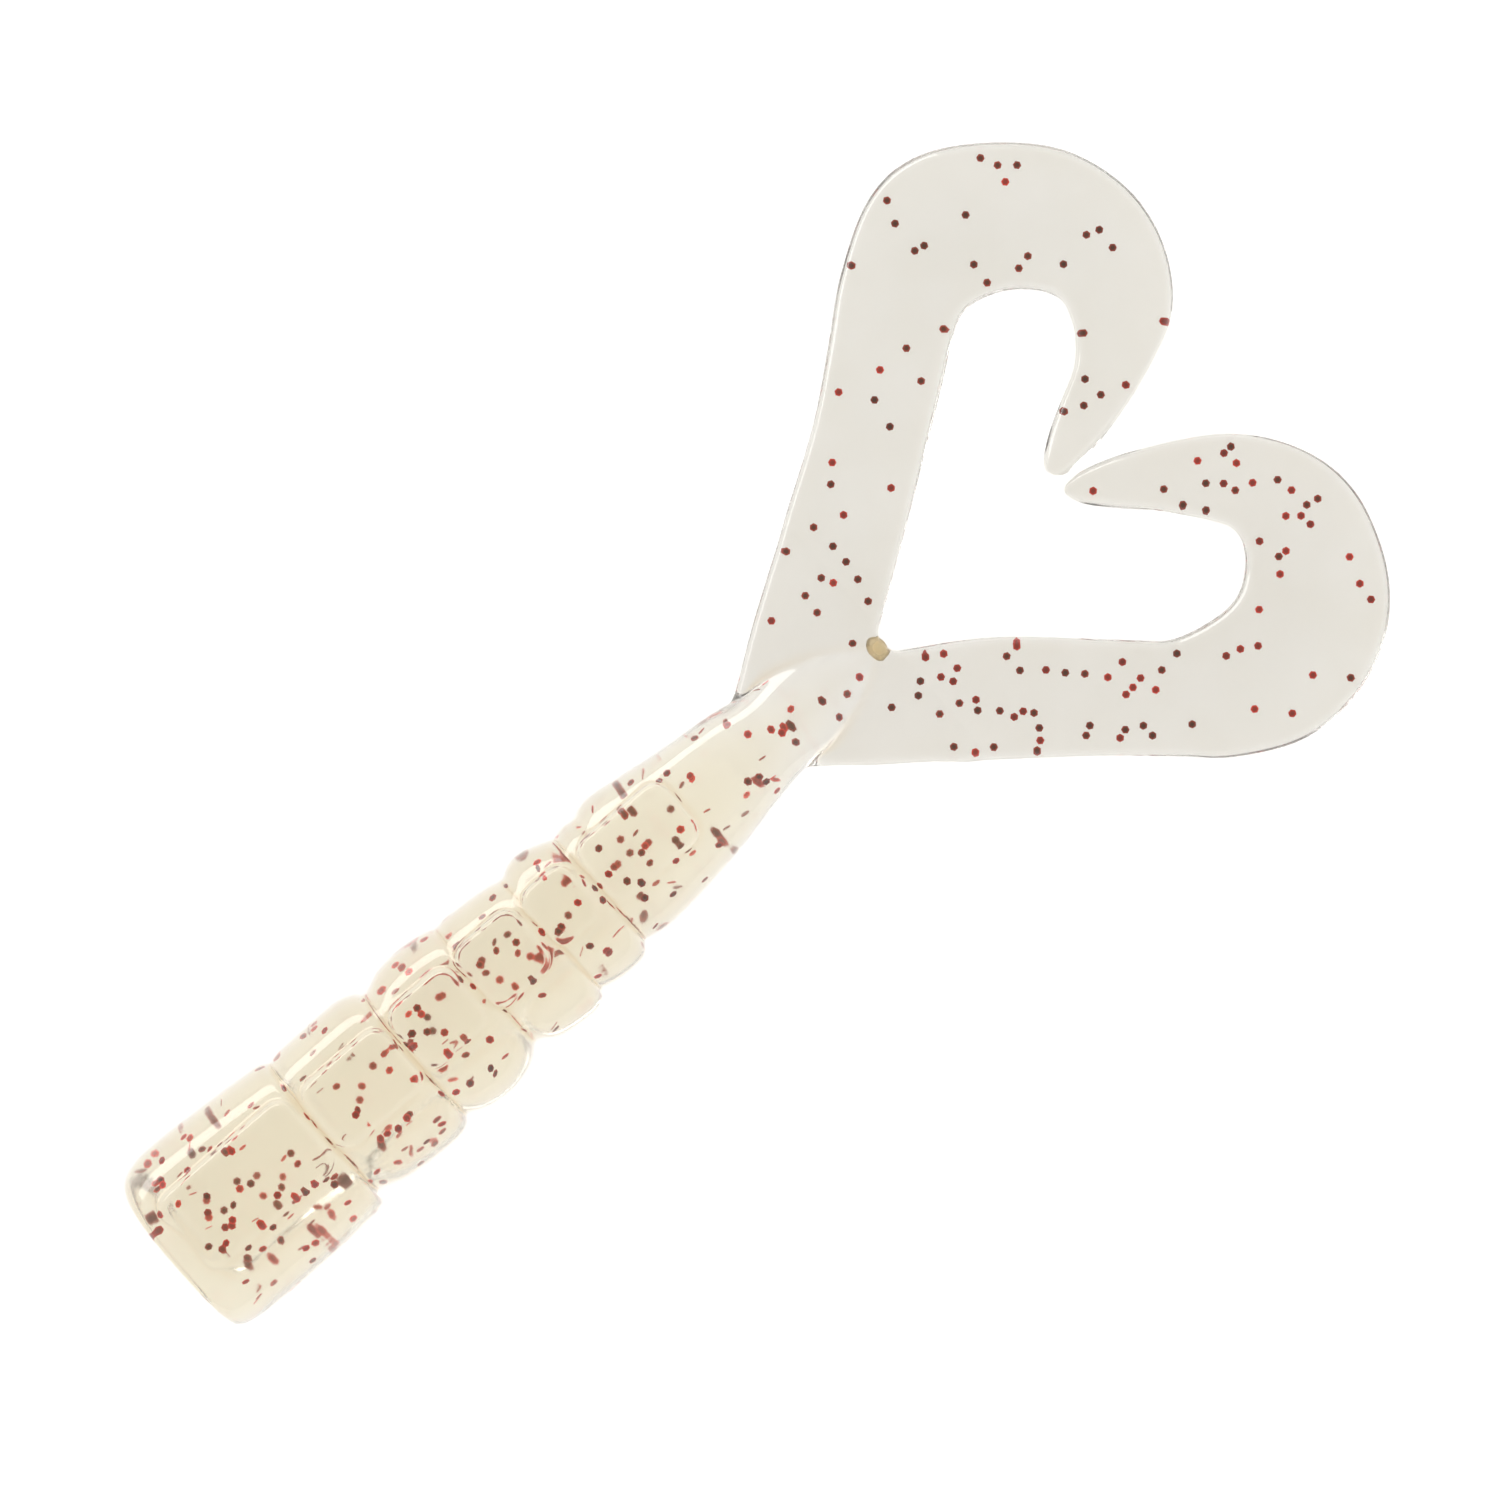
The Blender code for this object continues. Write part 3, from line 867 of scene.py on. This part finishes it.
def body_outline(station):
    """The body's half-widths, height and depth at a station."""
    cups = (HEAD_CUP, *RING_CUPS, STEM_CUP)
    inside = [keys for keys in cups if keys[0][0] <= station <= keys[-1][0]]
    return [max(values) for values in zip(*(follow(keys, station) for keys in inside))]


def scatter_body(count, draw):
    """Flakes' middles in the body, with the depth of each below the top and the skin's lean."""
    spots = []
    while len(spots) < count:
        station = draw.uniform(*FLAKE_STATIONS)
        right, left, top, belly = body_outline(station)
        if draw.random() > (right + left) * (top + belly) / FULLEST_SECTION:
            continue
        across, up = draw.uniform(-1, 1), draw.uniform(-1, 1)
        if abs(across) < SPARSE_MIDDLE and draw.random() > MIDDLE_SHARE:
            continue
        power = squareness(station)
        if abs(across) ** power + abs(up) ** power > FLAKE_FILL:
            continue
        y = across * ((right if across > 0 else left) - FLAKE_MARGIN)
        z = up * ((top if up > 0 else belly) - FLAKE_MARGIN)
        roof = top * (1 - abs(across) ** power) ** (1 / power)
        lean = math.atan2(abs(across) ** (power - 1) * across, abs(up) ** (power - 1) * up)
        spots.append((place(station, y, z), roof - z, lean))
    return spots


def scatter_tail(root, ribs, side, count, draw):
    """Flakes' middles in a tail, spread evenly over its area and well inside its edges."""
    outer, inner = tail_edges(root[TAIL_ROOT_SKIPPED:] + ribs, side)
    spots = []
    half = TAIL_THICKNESS / 2 - TAIL_FACE_MARGIN
    steps = list(zip(zip(outer, inner), zip(outer[1:], inner[1:])))
    areas = [(a - b).length * (c + d - a - b).length for (a, b), (c, d) in steps]
    while len(spots) < count:
        along = draw.choices(range(len(areas)), areas)[0] + draw.random()
        a, b = edge_point(outer, along), edge_point(inner, along)
        margin = TAIL_EDGE_MARGIN * MM / (a - b).length
        if margin > TAIL_TIP_SHARE:
            continue
        spot = a.lerp(b, draw.uniform(margin, 1 - margin))
        depth = draw.uniform(-half, half)
        if any((spot - other).length < TAIL_FLAKE_GAP * MM for other, *_ in spots):
            continue
        spots.append((spot + Vector((0, 0, depth * MM)), TAIL_FLAKE_DEPTH, 0.0))
    return spots


def flake_matrix(spot, lean, tilt, draw):
    """A flake's place: turned on its own face, tilted at random, then leant with the skin."""
    turn = Matrix.Rotation(draw.uniform(0, math.pi), 4, "Z")
    wobble = Matrix.Rotation(math.radians(draw.gauss(0, tilt)), 4, "X")
    swing = Matrix.Rotation(draw.uniform(0, 2 * math.pi), 4, "Z")
    return Matrix.Translation(spot) @ Matrix.Rotation(-lean, 4, "X") @ swing @ wobble @ turn


def add_flake(bm, spot, depth, lean, tilt, sizes, draw):
    """One hexagonal chip, with its tone, its veil and its dark core written on its points."""
    made = bmesh.ops.create_cone(
        bm, cap_ends=True, cap_tris=True, segments=6, radius1=sizes.flake_width / 2,
        radius2=sizes.flake_width / 2, depth=sizes.flake_thickness,
        matrix=flake_matrix(spot, lean, tilt, draw),
    )
    tone, veil, core = (bm.verts.layers.float[name] for name in FLAKE_VALUES)
    value = draw.uniform(*FLAKE_TONES)
    haze = MOST_VEIL * (1 - math.exp(-depth / VEIL_DEPTH))
    for vert in made["verts"]:
        vert[tone] = value
        vert[veil] = haze
        vert[core] = 1.0 if (vert.co - spot).length < sizes.flake_width / 4 else 0.0


# ---------------------------------------------------------------- operators


def piece_bends():
    """Every piece of skin in order: name, bodies, bend start and end, nodes stood for, middle."""
    rows = body_bends()
    for prefix, _, ribs, side in TAILS:
        rows += tail_bends(prefix, ribs, side)
    return rows


class WORM_OT_cast_skin(bpy.types.Operator):
    """Cast the worm as one fused skin and cut it between its flex lines"""

    bl_idname = "worm.cast_skin"
    bl_label = "Cast Skin"

    def execute(self, context):
        sizes, colours = context.scene.worm_sizes, context.scene.worm_colours
        mesh = fused_casting(sizes)
        store_point_values(mesh)
        cut_casting(mesh)
        body = plastisol("cream_plastisol", colours, 0.12, 0.96)
        tail = plastisol("pale_plastisol", colours, 0.06, 0.97)
        shells = loose_shells(mesh)
        clouds = {shell: read_vectors(shell.data.vertices, "co") for shell in shells}
        rows = piece_bends()
        if len(shells) != len(rows):
            raise RuntimeError(f"the casting fell into {len(shells)} shells instead of {len(rows)}")
        for name, bodies, start, end, nodes, middle in rows:
            shell = nearest_shell(clouds, middle)
            del clouds[shell]
            shell.name = name
            shell.data.name = name
            keep_whole_normals(shell.data)
            is_tail = "tail" in name
            shell.data.materials.clear()
            shell.data.materials.append(tail if is_tail else body)
            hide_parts(*nodes)
            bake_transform(shell, *bodies, start=start, end=end)
        return {"FINISHED"}


class WORM_OT_scatter_flakes(bpy.types.Operator):
    """Scatter the glitter through the casting, each flake bending with the skin around it"""

    bl_idname = "worm.scatter_flakes"
    bl_label = "Scatter Flakes"

    def execute(self, context):
        sizes, colours = context.scene.worm_sizes, context.scene.worm_colours
        draw = random.Random(sizes.seed)
        finishes = {
            "red": glitter("red_glitter", colours.red_heart, colours.red, colours.veil),
            "brown": glitter("brown_glitter", colours.brown_heart, colours.brown, colours.veil),
        }
        spots = [(BODY_REDS, *spot, BODY_TILT) for spot in scatter_body(sizes.body_flakes, draw)]
        for (_, root, ribs, side), count in zip(TAILS, (sizes.right_flakes, sizes.left_flakes)):
            found = scatter_tail(root, ribs, side, count, draw)
            spots += [(TAIL_REDS[side], *spot, TAIL_TILT) for spot in found]
        rows, groups = piece_bends(), {}
        for reds, spot, *lie in spots:
            name, bodies, start, end, *_ = rows[region_of(spot)]
            kind = "red" if draw.random() < reds else "brown"
            _, members = groups.setdefault((name, kind), ((bodies, start, end), []))
            members.append((spot, *lie))
        for (name, kind), ((bodies, start, end), members) in sorted(groups.items()):
            bm = bmesh.new()
            for value in FLAKE_VALUES:
                bm.verts.layers.float.new(value)
            for member in members:
                add_flake(bm, *member, sizes, draw)
            obj = into_object(bm, f"{kind}_flakes_{name.removeprefix('skin_')}")
            obj.data.materials.append(finishes[kind])
            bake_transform(obj, *bodies, start=start, end=end)
        return {"FINISHED"}


def region_of(spot):
    """The place in piece_bends of the skin piece that holds a flake."""
    station = (spot.x - FRONT_X) / MM
    for i, end in enumerate(BODY_CUTS):
        if station < end:
            return i
    side = 1 if spot.y > 0 else -1
    first = len(BODY_CUTS) if side > 0 else len(BODY_CUTS) + len(TAIL_CHAIN)
    edges = tail_edges(RIGHT_RIBS if side > 0 else LEFT_RIBS, side)
    samples = [i / 4 for i in range(4 * (len(RIGHT_RIBS) - 1) + 1)]

    def gap(along):
        outer, inner = (edge_point(points, along) for points in edges)
        across = outer - inner
        share = min(max((spot - inner).dot(across) / across.length_squared, 0), 1)
        return (inner + across * share - spot).length

    along = min(samples, key=gap)
    return first + sum(along > limit for limit in TAIL_CUTS)


class WORM_OT_gate_remnant(bpy.types.Operator):
    """Add the tan lump of plastic that is left where the mould was filled, at the crotch"""

    bl_idname = "worm.gate_remnant"
    bl_label = "Gate Remnant"

    def execute(self, context):
        bm = bmesh.new()
        bmesh.ops.create_icosphere(bm, subdivisions=4, radius=1.0)
        for vert in bm.verts:
            vert.co *= 1 + GATE_WAVE * (noise.noise(vert.co * GATE_GRAIN) + GATE_LEAN * vert.co.x)
        size = Matrix.Diagonal((*(side * MM for side in GATE_LUMP), 1.0))
        matrix = Matrix.Translation(place(GATE_STATION, 0)) @ size
        bmesh.ops.transform(bm, verts=bm.verts, matrix=matrix)
        obj = into_object(bm, "gate_remnant")
        obj.data.shade_smooth()
        obj.data.materials.append(tan_plastic("tan_plastisol", context.scene.worm_colours.gate))
        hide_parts("gate_nub")
        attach(obj, "fork")
        return {"FINISHED"}


class WORM_OT_stage(bpy.types.Operator):
    """Set the table, the soft lamps and the camera straight above the worm"""

    bl_idname = "worm.stage"
    bl_label = "Stage"

    def execute(self, context):
        scene = context.scene
        scene.view_settings.view_transform = "Standard"
        bm = bmesh.new()
        bmesh.ops.create_grid(bm, x_segments=4, y_segments=4, size=TABLE_HALF)
        table = into_object(bm, "table")
        table.data.transform(Matrix.Translation((0, 0, -TABLE_DROP * MM)))
        table.data.materials.append(table_top("table_top", scene.worm_colours.floor))
        scene.world = soft_sky()
        lamp = bpy.data.lights.new("side_softbox", "AREA")
        lamp.shape = "RECTANGLE"
        lamp.size = 0.30
        lamp.size_y = 0.07
        lamp.energy = 0.20
        softbox = bpy.data.objects.new("side_softbox", lamp)
        softbox.location = LAMP_AT
        towards = Vector(LAMP_AIM) - softbox.location
        softbox.rotation_euler = towards.to_track_quat("-Z", "Y").to_euler()
        scene.collection.objects.link(softbox)
        camera = bpy.data.cameras.new("camera")
        camera.lens = LENS
        camera.sensor_width = SENSOR
        view = bpy.data.objects.new("camera", camera)
        view.location = (*CAMERA_AT, PARTING_Z + VIEW_WIDTH * LENS / SENSOR)
        view.rotation_euler = (0, 0, math.radians(CAMERA_TURN))
        scene.collection.objects.link(view)
        scene.camera = view
        return {"FINISHED"}


class WORM_PT_panel(bpy.types.Panel):
    """The worm's sizes, colours and making"""

    bl_idname = "WORM_PT_panel"
    bl_label = "Soft Worm"
    bl_space_type = "VIEW_3D"
    bl_region_type = "UI"
    bl_category = "Soft Worm"

    def draw(self, context):
        for settings in (context.scene.worm_sizes, context.scene.worm_colours):
            for name in settings.__annotations__:
                self.layout.prop(settings, name)
        for operator in OPERATORS:
            self.layout.operator(operator.bl_idname)


OPERATORS = (WORM_OT_cast_skin, WORM_OT_scatter_flakes, WORM_OT_gate_remnant, WORM_OT_stage)
CLASSES = (WormSizes, WormColours, *OPERATORS, WORM_PT_panel)


def register():
    for cls in CLASSES:
        bpy.utils.register_class(cls)
    bpy.types.Scene.worm_sizes = PointerProperty(type=WormSizes)
    bpy.types.Scene.worm_colours = PointerProperty(type=WormColours)


def unregister():
    del bpy.types.Scene.worm_colours
    del bpy.types.Scene.worm_sizes
    for cls in reversed(CLASSES):
        bpy.utils.unregister_class(cls)


def main():
    register()
    bpy.ops.worm.cast_skin()
    bpy.ops.worm.scatter_flakes()
    bpy.ops.worm.gate_remnant()
    bpy.ops.worm.stage()


if __name__ == "__main__":
    main()
